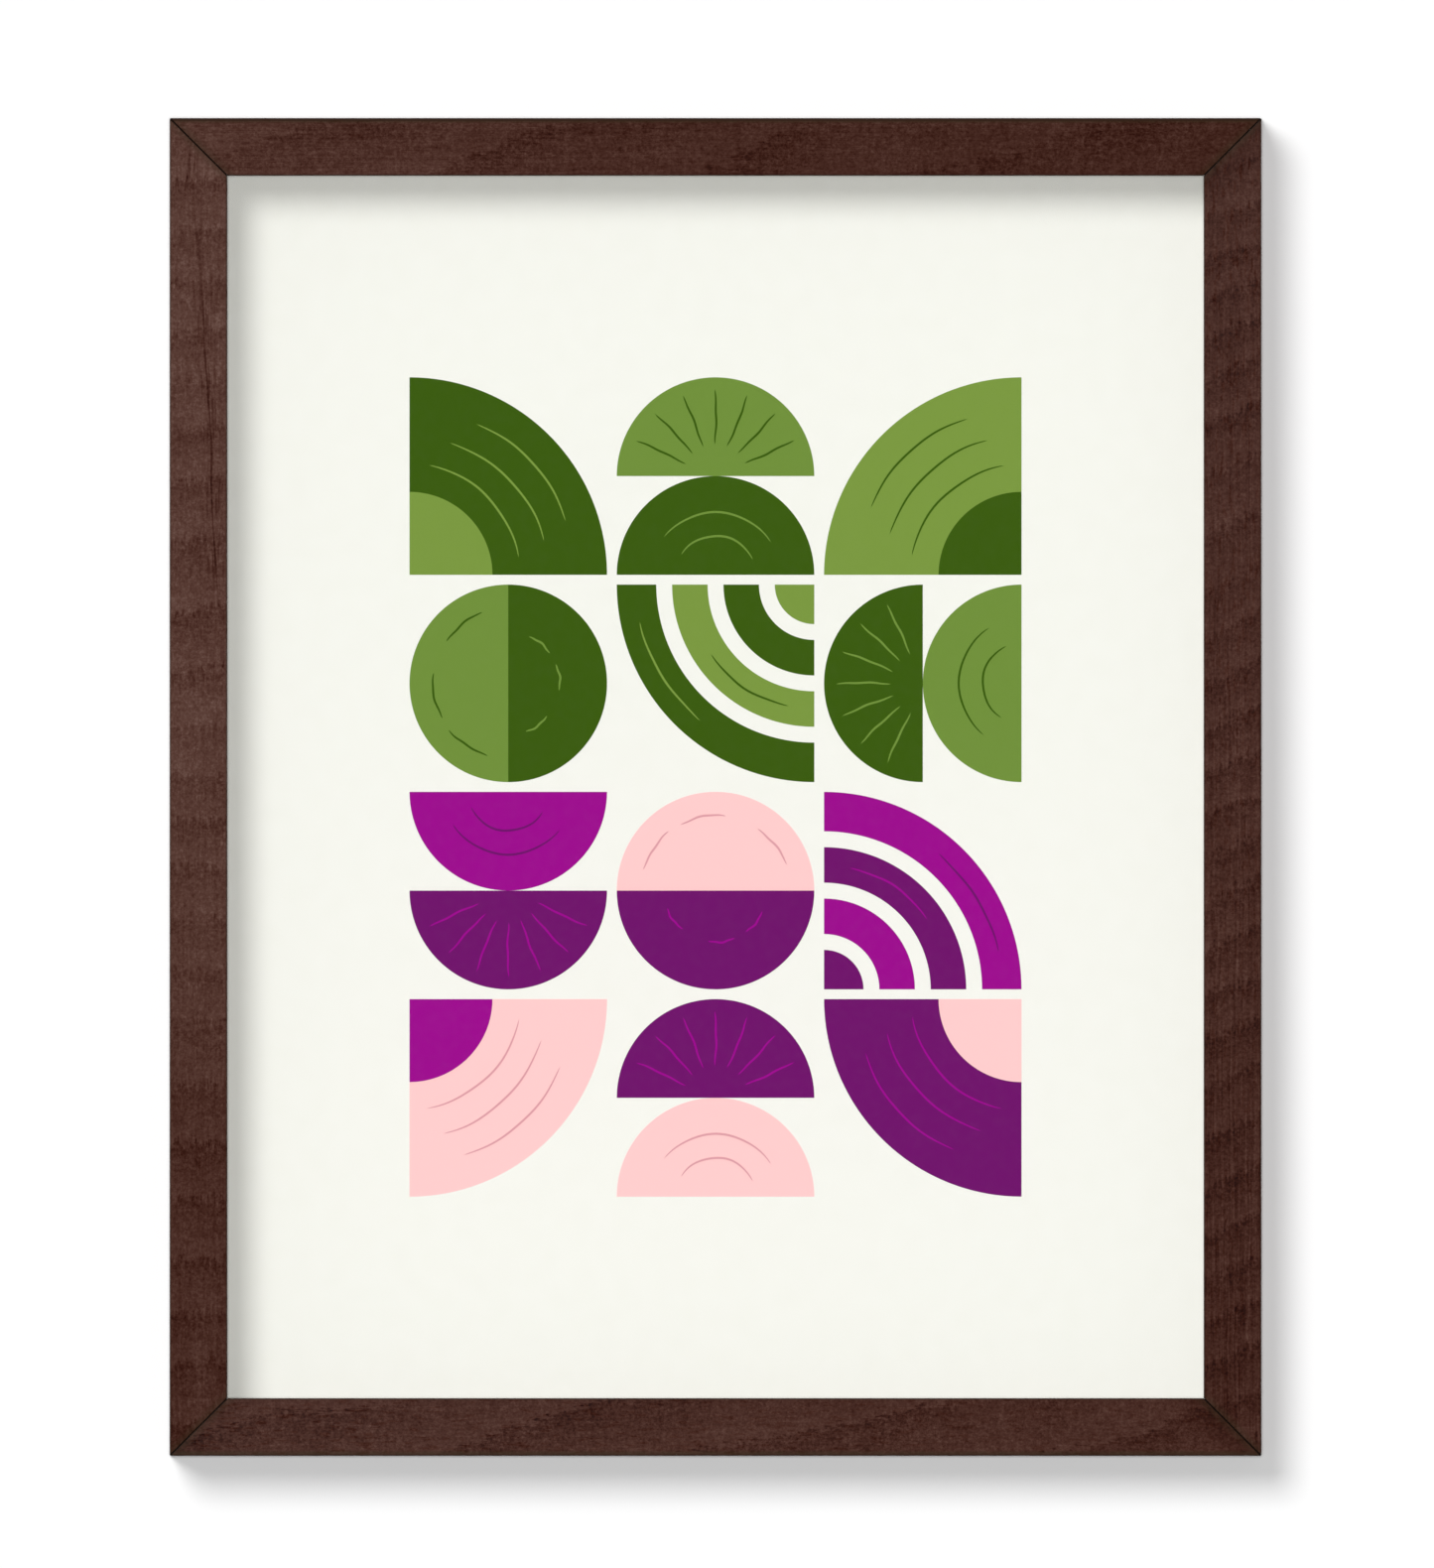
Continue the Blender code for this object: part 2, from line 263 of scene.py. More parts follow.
def quads(rows, columns, wrap=False):
    """The corners of each quad of a grid of points, with the last column joined to the first by wrap."""
    row = np.arange(rows - 1)[:, None] * columns
    column = np.arange(columns if wrap else columns - 1)
    beside = (column + 1) % columns
    corners = [row + column, row + beside, row + columns + beside, row + columns + column]
    return np.stack(corners, -1).reshape(-1, 4)


def tube_parts(rings):
    """Points and faces of closed rings (ring, point, xyz) joined in order, with both ends capped."""
    count, around = rings.shape[:2]
    faces = quads(count, around, wrap=True).tolist()
    first = list(range(around))
    last = [(count - 1) * around + i for i in first]
    return rings.reshape(-1, 3), faces + [first[::-1], last]


def turned_parts(profile, sides, centre):
    """A profile of (radius, y) rows turned about an axis along Y: x and z follow circles of the radius."""
    angle = np.linspace(0, 2 * math.pi, sides, endpoint=False)
    radius, depth = profile[:, :1], profile[:, 1:]
    x = centre.x + radius * np.cos(angle)
    z = centre.z + radius * np.sin(angle)
    points = np.stack([x, np.broadcast_to(depth, x.shape), z], -1)
    return points.reshape(-1, 3), quads(*x.shape, wrap=True).tolist()


def joined(parts):
    """Several (points, faces) pairs as one pair."""
    points, faces, start = [], [], 0
    for part_points, part_faces in parts:
        points.append(part_points)
        faces += [[start + i for i in face] for face in part_faces]
        start += len(part_points)
    return np.concatenate(points), faces


print("3 rings of 4 points have", len(quads(3, 4, wrap=True)), "quads between them")

# %% Pieces
WELD = 1e-6
SHARP = math.radians(35)


def new_piece(name, parts, material, stands_for=(), solid=True):
    """A mesh that rides on the model: welded, and if it is a solid, turned outwards and shaded smooth."""
    points, faces = parts
    mesh = bpy.data.meshes.new(name)
    mesh.from_pydata(points.tolist(), [], faces)
    shape = bmesh.new()
    shape.from_mesh(mesh)
    bmesh.ops.remove_doubles(shape, verts=shape.verts, dist=WELD)
    if solid:
        bmesh.ops.recalc_face_normals(shape, faces=shape.faces)
    shape.to_mesh(mesh)
    shape.free()
    if solid:
        mesh.shade_smooth()
        mesh.set_sharp_from_angle(angle=SHARP)
    mesh.materials.append(material)
    piece = bpy.data.objects.new(name, mesh)
    bpy.context.scene.collection.objects.link(piece)
    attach(piece, "root")
    if stands_for:
        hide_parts(*stands_for)
    return piece


def dress(nodes, material):
    """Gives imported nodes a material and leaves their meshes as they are."""
    for node in nodes:
        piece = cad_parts[node]
        piece.data.materials.clear()
        piece.data.materials.append(material)


# %% [markdown]
# ## Stained wood
#
# The rails are a pale, close-grained wood under a dark walnut stain. Three things show from a step away.
# Fine fibres run along each rail and waver a little. A figure of dark flames lies across them: short level
# bands on the upright rails, and long slanting wedges on the level ones. And the stain gathers at the
# mitres and the outer edges, where it turns darker and more olive. The thin dark line along both edges of
# the face, darker along the top, is partly that stain and partly painted shade of the rounded edges.
#
# A flame is dark at one ragged edge and fades away from it, so it is drawn as a saw: a slanted distance
# divided by the flame's length, of which only the fraction is kept. Its edge is torn by the same fibres
# that draw the grain. The rest is solid noise in the piece's own place, from specks of a millimetre to
# streaks of a decimetre, so the grain runs through from the face onto the sides as it does in real wood.
# Each rail has its own numbers, because four rails never come from the same part of a plank. Their tones,
# and how each lightens along its length, are also partly painted light from the upper left: the left rail
# is the lightest, and the upright rails turn lighter towards the top and the top rail towards the left.
#
# The stain is brushed on once the frame is joined, and only its edge laps onto the back: the vertex
# attribute "stained" says where it reached, and noise makes that line ragged. Raw wood shows past it.

# %% Stains
STAIN = (
    (0.0, srgb(28, 2, 0)),
    (0.25, srgb(49, 18, 8)),
    (0.5, srgb(66, 37, 29)),
    (0.75, srgb(83, 55, 47)),
    (1.0, srgb(104, 78, 70)),
)
# the colour of the thin line along the face's edges: stain, with painted shade of the rounded edges
EDGE_STAIN_AND_SHADE = srgb(46, 28, 18)
OLIVE_STAIN = srgb(50, 38, 22)
GROOVE = srgb(14, 6, 3)
RAW_WOOD = srgb(176, 138, 102)
RAW_WOOD_DARK = srgb(140, 102, 70)
WOOD_SHEEN = 0.12
GRAIN_DEPTH = 0.00005
# The distances between which each mark fades away from the mitre, edge or split that it lies along
GROOVE_FADE = (0.0002, 0.0008)
OLIVE_FADE = (0.0004, 0.0055)
END_FADE = (0.003, 0.02)
RIM_FADE = (0.0002, 0.0009)
LEVEL_FADE = (0.0010, 0.0026)
TOP_FADE = (0.0010, 0.0014)
SIDE_FADE = (0.0008, 0.0025)
SPLIT_FADE = (0.00015, 0.0006)
BESIDE_FADE = (0.001, 0.006)
print("stains:", len(STAIN), "tones, then olive and dark towards the edges")


# %% Wood
def stained_wood(name, level, seed, tone, painted_light_trend, ends, threads, figure, checks=()):
    """Wood for one rail. level is True for the top and bottom rails. tone is how light the wood is, trend
    how much lighter its high end is, ends how much lighter it is by its low and high mitre, and threads how
    much the long fibres show. figure is the strength, period, slope, shift and softness of the dark flames,
    and checks has the place out, start, end and lean of each dark split."""
    wood = Finish(name)
    x, y, z = wood.place()
    run, across = (x, z) if level else (z, x)

    def weave(long, wide, detail=2.0, lane=across):
        """Noise about 0 with marks of a given length along the grain and width across it, in metres."""
        return wood.noise((run + seed) * (1 / long), lane * (1 / wide), y * (1 / wide), detail, 0.9) - 0.5

    lane = across + weave(0.09, 0.03) * 0.004
    speck = weave(0.0011, 0.0011, 1)
    grit = weave(0.0024, 0.0022, 1)
    fibre = weave(0.010, 0.0016, 2, lane)
    thread = weave(0.060, 0.0009, 1, lane)
    bars = weave(0.0030, 0.013)
    streak = weave(0.10, 0.0040, 1, lane)
    pore = weave(0.0050, 0.0009, 0, lane).rise(0.10, 0.22)

    strength, period, slope, shift, soft = figure
    torn = fibre * 0.014 + grit * 0.005
    drift = wood.noise((x + seed) * 9, (z + seed) * 9, y * 9, 1) - 0.5
    wander, swell = (1.0, 0.3) if level else (1.6, 0.6)
    flame = ((z + torn - x * slope) * (1 / period) + drift * wander + shift).fraction()
    bold = weave(0.05, 0.05, 1).rise(-0.25, 0.15)
    dark = flame * (flame * swell + 1 - swell) * flame.fall(1 - soft, 1) * (bold * 0.6 + 0.4)
    cloud = weave(0.12, 0.04)

    from_side = OUTER_HALF_WIDTH - abs(x)
    from_end = OUTER_HALF_HEIGHT - abs(z - CENTRE_Z)
    off_mitre = abs(from_side - from_end)
    half = OUTER_HALF_WIDTH if level else OUTER_HALF_HEIGHT
    high_end = (x if level else z - CENTRE_Z) * (0.5 / half)
    low_lift, high_lift = ends
    lift = high_end.rise(-0.1, 0.1) * (high_lift - low_lift) + low_lift
    rough = speck * 0.8 + grit * 0.32 + fibre * 0.36 + bars * 0.34 + streak * 0.08
    shade = (
        tone
        + rough * (0.75 + dark * 0.6)
        + thread * (1 - high_end) * threads
        + cloud * 0.25
        # painted light: lighter towards the top of the upright rails and towards the left of the top rail
        + high_end.least(0.05) * painted_light_trend
        + off_mitre.fall(*END_FADE) * lift
        - dark * strength
        - pore * (0.02 + dark * 0.05)
    )
    for out, start, end, lean in checks:
        line = abs(lane + thread * 0.0012 + SIGHT_HALF_WIDTH + out + (run - start) * lean)
        length = start - end
        window = run.rise(end, end + length * 0.1) * run.fall(start - length * 0.5, start)
        uneven = wood.noise(run * 70, 0.0, 0.0).rise(0.3, 0.6) * 0.6 + 0.4
        split = line.fall(*SPLIT_FADE) * uneven
        beside = weave(0.012, 0.0008, 0, lane).rise(0.08, 0.18) * line.fall(*BESIDE_FADE)
        shade = shade - (split * 0.45).most(beside * 0.22) * window
    colour = wood.add("ValToRGB", {"stops": STAIN}, {0: shade})

    near_face = (y - FRONT_Y).fall(*SIDE_FADE)
    level_edge = from_end.fall(*LEVEL_FADE) * near_face
    olive = off_mitre.fall(*OLIVE_FADE).most(level_edge * 1.5) * (0.38 + grit * 0.5)
    off_edge = from_side.least(from_end)
    # Painted shade over stain: a thin dark line along both edges of the face, and a darker one along the
    # top edge
    rim = off_edge.least(FACE_WIDTH - off_edge).fall(*RIM_FADE)
    top_edge_shade = (TOP_Z - z).fall(*TOP_FADE)
    colour = wood.mix(olive, colour, OLIVE_STAIN)
    colour = wood.mix((rim * 0.65).most(top_edge_shade * 0.9) * near_face, colour, EDGE_STAIN_AND_SHADE)
    colour = wood.mix(off_mitre.fall(*GROOVE_FADE) * 0.95, colour, GROOVE)

    covered = wood.add("Attribute", {"attribute_name": "stained"}, out="Fac")
    lapped = (covered + weave(0.012, 0.003, 3) * 0.35 + fibre * 0.12).rise(0.62, 0.72)
    stain_left = weave(0.05, 0.009, 4).rise(-0.02, 0.3) * 0.35
    raw = wood.mix(0.5 + fibre * 1.2 + grit * 0.8 + bars * 0.4, RAW_WOOD, RAW_WOOD_DARK)
    colour = wood.mix(lapped.most(stain_left), raw, colour)

    height = fibre * 0.6 + thread * 0.4 - pore * 0.5
    roughness = 0.55 + pore * 0.2 - fibre * 0.15
    return wood.surface(colour, roughness, height, GRAIN_DEPTH, Specular_IOR_Level=WOOD_SHEEN)


# %% The four rails' woods
# The tones and the slopes along each rail are partly painted light from the upper left: the left rail is
# the lightest, the right the darkest.
rail_woods = {
    "top": stained_wood(
        "stained_top", level=True, seed=3.1, tone=0.505, painted_light_trend=-0.22, ends=(0.05, -0.04), threads=0.25,
        figure=(0.17, 0.0416, 0.40, 0.15, 0.15),
    ),
    "right": stained_wood(
        "stained_right", level=False, seed=7.7, tone=0.495, painted_light_trend=0.14, ends=(0.05, -0.17), threads=0.5,
        figure=(0.28, 0.019, 0.45, 0.0, 0.2),
    ),
    "bottom": stained_wood(
        "stained_bottom", level=True, seed=12.4, tone=0.52, painted_light_trend=0.0, ends=(-0.1, -0.2), threads=0.1,
        figure=(0.22, 0.029, 0.25, 0.42, 0.02),
    ),
    "left": stained_wood(
        "stained_left", level=False, seed=19.2, tone=0.74, painted_light_trend=0.48, ends=(0.0, 0.0), threads=0.2,
        figure=(0.27, 0.022, 0.04, 0.0, 0.2),
        checks=((0.0148, 0.009, -0.190, 0.058), (0.0155, 0.003, -0.012, 0.02)),
    ),
}
print("wood:", ", ".join(rail_woods))

# %% [markdown]
# ## The rails
#
# A rail is one section carried along a straight line and cut at 45 degrees at both ends. The section is
# a list of corners, each rounded by its own radius: a fine arris on the two front edges, none inside the
# rabbet. A short step beside each rounding keeps the shading of the wide flats level.
#
# The cut ends are eased as well. Near its end the section shrinks by a quarter circle, and this leaves
# the thin dark line that a mitre shows from the front.

# %% Section
ARRIS = 0.0006
BACK_ARRIS = 0.0004
ARRIS_STEPS = 7
FLAT_STEP = 0.0005
MITRE_EASE = 0.0003
MITRE_GAP = 0.00001
EASE_STEPS = 3
# Corners of the section: out, y, radius, and whether the stain covers that corner
SECTION = (
    (0.0, FRONT_Y, ARRIS, 1),
    (FACE_WIDTH, FRONT_Y, ARRIS, 1),
    (FACE_WIDTH, BACK_Y, BACK_ARRIS, 1),
    (LIP_WIDTH, BACK_Y, BACK_ARRIS / 2, 0),
    (LIP_WIDTH, LIP_BACK_Y, 0.0, 0),
    (0.0, LIP_BACK_Y, BACK_ARRIS / 2, 1),
)


def unit(vector):
    return vector / np.linalg.norm(vector)


def rounded_section(corners, steps):
    """Each corner becomes a quarter circle between its two sides, with one more point on each side. Where a
    and b point from the corner along the sides, the arc is the centre less r (b cos t + a sin t)."""
    places = np.array([corner[:2] for corner in corners])
    turn = np.linspace(0, math.pi / 2, steps)[:, None]
    rows = []
    for i, (_, _, radius, stained) in enumerate(corners):
        here = places[i]
        before = unit(places[i - 1] - here)
        after = unit(places[(i + 1) % len(places)] - here)
        arc = here[None, :]
        if radius:
            arc = here + radius * ((before + after) - (after * np.cos(turn) + before * np.sin(turn)))
        beside = radius + FLAT_STEP
        ring = np.concatenate([[here + before * beside], arc, [here + after * beside]])
        rows.append(np.column_stack([ring, np.full(len(ring), float(stained))]))
    return np.concatenate(rows)


def shrunk(ring, distance):
    """A closed outline moved inwards: each point goes along the mean of its two sides' inward normals."""
    forward = np.roll(ring, -1, 0) - ring
    forward /= np.linalg.norm(forward, axis=1, keepdims=True)
    normal = np.column_stack([-forward[:, 1], forward[:, 0]])
    mean = normal + np.roll(normal, 1, 0)
    mean /= (mean * normal).sum(1, keepdims=True)
    return ring + mean * distance


section = rounded_section(SECTION, ARRIS_STEPS)
area = np.cross(section[:, :2], np.roll(section[:, :2], -1, 0)).sum() / 2
inward = math.copysign(1, area)
print("section: %d points, %.1f square millimetres" % (len(section), abs(area) * 1e6))


# %% Rails
# For each rail, as x and z: which way out points, and which way the rail runs
RAILS = {
    "top": ((0, 1), (1, 0)),
    "right": ((1, 0), (0, -1)),
    "bottom": ((0, -1), (-1, 0)),
    "left": ((-1, 0), (0, 1)),
}


def sight_edge(side):
    """How far a rail's sight edge lies from the frame's middle, and half of its length."""
    level = SIGHT_HALF_HEIGHT, SIGHT_HALF_WIDTH
    return level[::-1] if side in ("left", "right") else level


def on_rail(side, out, y, along):
    """Points by their distance out from the frame's middle, y, and their distance along the rail."""
    (out_x, out_z), (run_x, run_z) = RAILS[side]
    x = out_x * out + run_x * along
    z = CENTRE_Z + out_z * out + run_z * along
    return np.stack(np.broadcast_arrays(x, y, z), -1)


def rail_rings(side):
    """The section at each place along a rail. A point that lies further out is further along as well, by
    the same distance, and that is what a cut at 45 degrees means. At an end the section is shrunk by
    1 - sin t and set back by 1 - cos t, times the mitre's easing."""
    offset, half = sight_edge(side)
    ends = []
    for turn in np.linspace(0, math.pi / 2, EASE_STEPS + 1):
        out, y = shrunk(section[:, :2], inward * MITRE_EASE * (1 - math.sin(turn))).T
        setback = MITRE_EASE * (1 - math.cos(turn)) * math.sqrt(2)
        ends.append((out, y, half + out - MITRE_GAP - setback))
    rings = [(out, y, -along) for out, y, along in ends] + ends[::-1]
    out, y, along = np.moveaxis(np.array(rings), 1, 0)
    return on_rail(side, offset + out, y, along)


for side in RAILS:
    rings = rail_rings(side)
    parts = tube_parts(rings)
    rail = new_piece("wood_rail_" + side, parts, rail_woods[side], ["rail_" + side])
    cover = rail.data.attributes.new("stained", "FLOAT", "POINT")
    cover.data.foreach_set("value", np.tile(section[:, 2], len(rings)).astype(np.float32))
print("rails:", len(rail.data.polygons), "faces each")

# %% [markdown]
# ## Paper
#
# The print is on heavy, uncoated art paper. Up close such paper is a felt of fibres: it has a soft tooth
# that shows in raking light, and its cream varies by a few parts in a hundred. Nothing else is on it at
# this stage, because ink lies on top of paper and is a layer of its own.

# %% Paper
PAPER = srgb(241, 241, 234)
PAPER_SHADE = srgb(238, 238, 230)


def art_paper():
    """A fine felt in the height, and a slower noise of pulp in the tone."""
    paper = Finish("cream_paper")
    felt = paper.even(900, detail=4, roughness=0.6)
    pulp = paper.even(120, detail=3)
    colour = paper.mix(pulp.rise(0.3, 0.75) * 0.5 + (felt - 0.5) * 0.4, PAPER, PAPER_SHADE)
    return paper.surface(colour, 0.9, height=felt, depth=0.00001, Specular_IOR_Level=0.1)


dress(["print"], art_paper())
print("paper %.1f x %.1f mm" % (1000 * (paper_high.x - paper_low.x), 1000 * (paper_high.z - paper_low.z)))

# %% [markdown]
# ## Inks
#
# The sheet carries a plain geometric design: three by four tiles of quarter circles, domes and discs,
# greens above and purples and pinks below. It is printed in flat spot colours, as a screen print is, so
# each ink is a thin film with a crisp edge. That is why the design is modelled as films and not drawn
# in a material: an outline made of geometry stays sharp at any distance.
#
# Every filled shape is part of a ring: a radius between two radii and an angle between two angles. Every
# thin line follows a path, swells from nothing to its full width and back, and wavers a little, as a
# line drawn with a pen does.

# %% Inks
INKS = {
    "forest": (srgb(56, 88, 8), "green_ink"),
    "fern": (srgb(119, 148, 62), "green_ink"),
    "moss": (srgb(109, 140, 57), "green_ink"),
    "plum": (srgb(108, 14, 104), "purple_ink"),
    "magenta": (srgb(152, 4, 138), "purple_ink"),
    "blush": (srgb(251, 200, 200), "pink_ink"),
    "rose": (srgb(218, 154, 162), "pink_ink"),
}
SHOW_THROUGH = 0.01  # how much of the paper's colour shows where the ink is thin


def printing_ink(name, colour):
    """A matte spot colour that is a little thicker in some places than in others."""
    ink = Finish(name)
    body = ink.even(260, detail=3)
    tooth = ink.even(1400)
    thin = tuple(c + (p - c) * SHOW_THROUGH for c, p in zip(colour, PAPER))
    shown = ink.mix(body.rise(0.35, 0.8) * 0.3, colour, thin)
    return ink.surface(shown, 0.75, height=tooth, depth=0.00002, Specular_IOR_Level=0.05)


print("inks:", ", ".join(INKS))

# %% Shapes of the design
TILE = 0.085
MOTIF = 0.081  # a motif's size in its tile, which leaves a strip of bare paper between tiles
FILM = 0.00004  # how much higher each layer of ink stands
FILM_THICK = FILM * 1.25  # so that no layer hangs clear of the one below
LINE = 0.0009  # the width of a pen line at its middle
STEP = 0.0008  # the longest straight piece of a curved edge
ARC_POINTS, RAY_POINTS = 40, 20
WAVER = 0.0035  # how far a pen line strays, in tiles


def film(across, up, layer):
    """A grid of points in a tile, in tiles from its middle, as a film that is so many layers up."""
    return np.stack([across, np.full(across.shape, float(layer)), up], -1)


def sector(centre, radii, angles, layer=1):
    """Part of a ring: x = cx + r cos a and z = cz + r sin a, for r and a between their two limits."""
    low, high = np.radians(angles)
    count = max(3, int(abs(high - low) * max(radii) * MOTIF / STEP))
    radius = np.linspace(*radii, 2)[:, None]
    angle = np.linspace(low, high, count)[None, :]
    return film(centre[0] + radius * np.cos(angle), centre[1] + radius * np.sin(angle), layer)


def stroke(across, up, seed, layer):
    """A pen line along a path. Its half width is w sin(pi t) to the power 0.35, and it is moved sideways
    by two slow waves."""
    t = np.linspace(0, 1, len(across))
    forward = np.gradient(np.column_stack([across, up]), axis=0)
    forward /= np.linalg.norm(forward, axis=1, keepdims=True)
    normal = np.column_stack([-forward[:, 1], forward[:, 0]])
    wave = WAVER * (np.sin(5 * t + seed) + 0.5 * np.sin(13 * t + 2.3 * seed))
    half = LINE / MOTIF / 2 * np.sin(math.pi * t) ** 0.35
    middle = np.column_stack([across, up]) + normal * wave[:, None]
    sides = [middle + normal * (half * sign)[:, None] for sign in (-1, 1)]
    return film(*np.stack(sides).transpose(2, 0, 1), layer)


def arc_stroke(centre, radius, angles, layer=2):
    """A pen line along part of a circle."""
    angle = np.radians(np.linspace(*angles, ARC_POINTS))
    path = centre[0] + radius * np.cos(angle), centre[1] + radius * np.sin(angle)
    return stroke(*path, seed=radius * 40 + angles[0], layer=layer)


def ray_stroke(centre, radii, angle):
    """A pen line straight out from a point."""
    radius = np.linspace(*radii, RAY_POINTS)
    turn = math.radians(angle)
    path = centre[0] + radius * math.cos(turn), centre[1] + radius * math.sin(turn)
    return stroke(*path, seed=angle * 1.7, layer=2)


print("a tile is %.0f mm, a line %.1f mm" % (TILE * 1000, LINE * 1000))

# %% [markdown]
# A tile's motif is a list of shapes, each with its role: the main colour, the second colour, or one of the
# two colours of pen line. The layout then says which motif each tile has, how it is turned, and which ink
# plays each role.


# %% Motifs
def fan():
    """A quarter disc from one corner, a smaller one on it, and arcs between them."""
    corner = (-0.5, -0.5)
    shapes = [("main", sector(corner, (0, 1), (0, 90))), ("second", sector(corner, (0, 0.42), (0, 90), 2))]
    for i, radius in enumerate((0.56, 0.70, 0.84)):
        shapes.append(("line", arc_stroke(corner, radius, (9 + 5 * i, 80 - 7 * i))))
    return shapes


def domes():
    """Two half discs, one above the other, with rays on the upper one and arcs on the lower one."""
    upper, lower = (0, 0.0), (0, -0.5)
    shapes = [("main", sector(upper, (0, 0.5), (0, 180))), ("second", sector(lower, (0, 0.5), (0, 180)))]
    for angle in range(24, 160, 22):
        shapes.append(("line", ray_stroke(upper, (0.16, 0.44), angle)))
    for i, radius in enumerate((0.20, 0.32)):
        shapes.append(("line2", arc_stroke(lower, radius, (22 + 8 * i, 150 - 6 * i))))
    return shapes


def sun():
    """A disc with a half disc on it and a broken ring of lines."""
    centre = (0, 0)
    disc, half_disc = sector(centre, (0, 0.5), (0, 360)), sector(centre, (0, 0.5), (180, 360), 2)
    shapes = [("main", disc), ("second", half_disc)]
    for start in (20, 82, 128):
        shapes.append(("line", arc_stroke(centre, 0.38, (start, start + 36))))
    for start in (200, 262, 306):
        shapes.append(("line2", arc_stroke(centre, 0.26, (start, start + 30), 3)))
    return shapes


def bow():
    """Quarter rings about one corner, in two colours by turns."""
    corner = (-0.5, -0.5)
    bands = ((0.80, 1.0, "main"), (0.54, 0.72, "second"), (0.28, 0.46, "main"), (0, 0.20, "second"))
    shapes = [(role, sector(corner, (low, high), (0, 90))) for low, high, role in bands]
    shapes.append(("line", arc_stroke(corner, 0.90, (12, 50))))
    shapes.append(("line2", arc_stroke(corner, 0.63, (34, 78))))
    return shapes


# %% Layout and films
# Each tile, from the top left: motif, quarter turns, and the inks of main, second, line and line2. Where
# only two inks are named, each takes the lines that lie on the other.
ROLES = ("main", "second", "line", "line2")
LAYOUT = (
    ((fan, 0, "forest", "fern"), (domes, 0, "moss", "forest"), (fan, 1, "fern", "forest")),
    ((sun, 1, "moss", "forest"), (bow, 2, "forest", "fern"), (domes, 1, "forest", "moss")),
    (
        (domes, 2, "plum", "magenta"),
        (sun, 0, "blush", "plum", "rose", "magenta"),
        (bow, 0, "magenta", "plum"),
    ),
    (
        (fan, 3, "blush", "magenta", "rose", "plum"),
        (domes, 0, "plum", "blush", "magenta", "rose"),
        (fan, 2, "plum", "blush", "magenta", "rose"),
    ),
)


def placed(grid, turns, column, row):
    """A motif's grid turned by quarter turns about its tile's middle, scaled, and put on the paper."""
    x, layer, z = np.moveaxis(grid, -1, 0)
    for _ in range(turns):
        x, z = -z, x
    x = x * MOTIF + (column - (len(LAYOUT[0]) - 1) / 2) * TILE
    z = z * MOTIF + CENTRE_Z + ((len(LAYOUT) - 1) / 2 - row) * TILE
    return np.stack([x, PAPER_Y - layer * FILM, z], -1)


def facing_front(grid):
    """Points and faces of a level grid whose faces point to the front, as its corners' turns say."""
    corners = quads(*grid.shape[:2])
    points = grid.reshape(-1, 3)
    one, two = points[corners[:, 2]] - points[corners[:, 0]], points[corners[:, 3]] - points[corners[:, 1]]
    if np.cross(one, two)[:, 1].sum() > 0:
        corners = corners[:, ::-1]
    return points, corners.tolist()


films = {ink: [] for ink in INKS}
for row, tiles in enumerate(LAYOUT):
    for column, (motif, turns, *inks) in enumerate(tiles):
        roles = dict(zip(ROLES, inks + inks[::-1]))
        for role, grid in motif():
            films[roles[role]].append(facing_front(placed(grid, turns, column, row)))

for ink, parts in films.items():
    colour, slot = INKS[ink]
    piece = new_piece("print_" + ink, joined(parts), printing_ink("ink_" + ink, colour), solid=False)
    thick = piece.modifiers.new("thickness", "SOLIDIFY")
    thick.thickness = FILM_THICK
    thick.offset = -1
    print(ink, len(parts), "shapes")

# %% [markdown]
# ## Glazing
#
# Clear acrylic shows itself only by what it mirrors. Picture glazing is coated, so that is 1 or 2 parts
# in 100 straight on, and more at a slant. The material lets light through as it is, and mixes in a mirror
# by Schlick's rule, the fifth power of how far the surface is turned away. A glass shader would bend
# and count every ray twice, and would darken the paper behind it for no gain in a sheet this thin.

# %% Glazing
HEAD_ON = 0.015  # the share that is mirrored straight on
TINT = (0.995, 0.996, 0.995, 1)
POLISH = 0.03


def clear_acrylic():
    """Clear, mixed with a mirror by the share s + (1 - s) t to the fifth: s is the share head on, and t is
    how far the surface is turned away."""
    acrylic = Finish("acrylic_sheet")
    turned_away = acrylic.add("LayerWeight", sockets={"Blend": 0.5}, out="Facing")
    mirrored = turned_away**5 * (1 - HEAD_ON) + HEAD_ON
    clear = acrylic.add("BsdfTransparent", sockets={"Color": TINT})
    gloss = acrylic.add("BsdfGlossy", sockets={"Color": grey(1), "Roughness": POLISH})
    return acrylic.show(acrylic.add("MixShader", sockets={0: mirrored, 1: clear, 2: gloss}))


dress(["glazing"], clear_acrylic())
print("glazing %.1f mm thick" % (1000 * (sheet_high.y - sheet_low.y)))

# %% [markdown]
# ## Spacers
#
# Four strips keep the paper away from the glazing. They hide behind the lip from the front, but from the
# side they are the inner wall of the box, so they are stained like the rails, only flatter and darker.

# %% Spacers
SPACER_STAIN = ((0.0, srgb(34, 20, 15)), (0.5, srgb(58, 38, 31)), (1.0, srgb(84, 60, 51)))


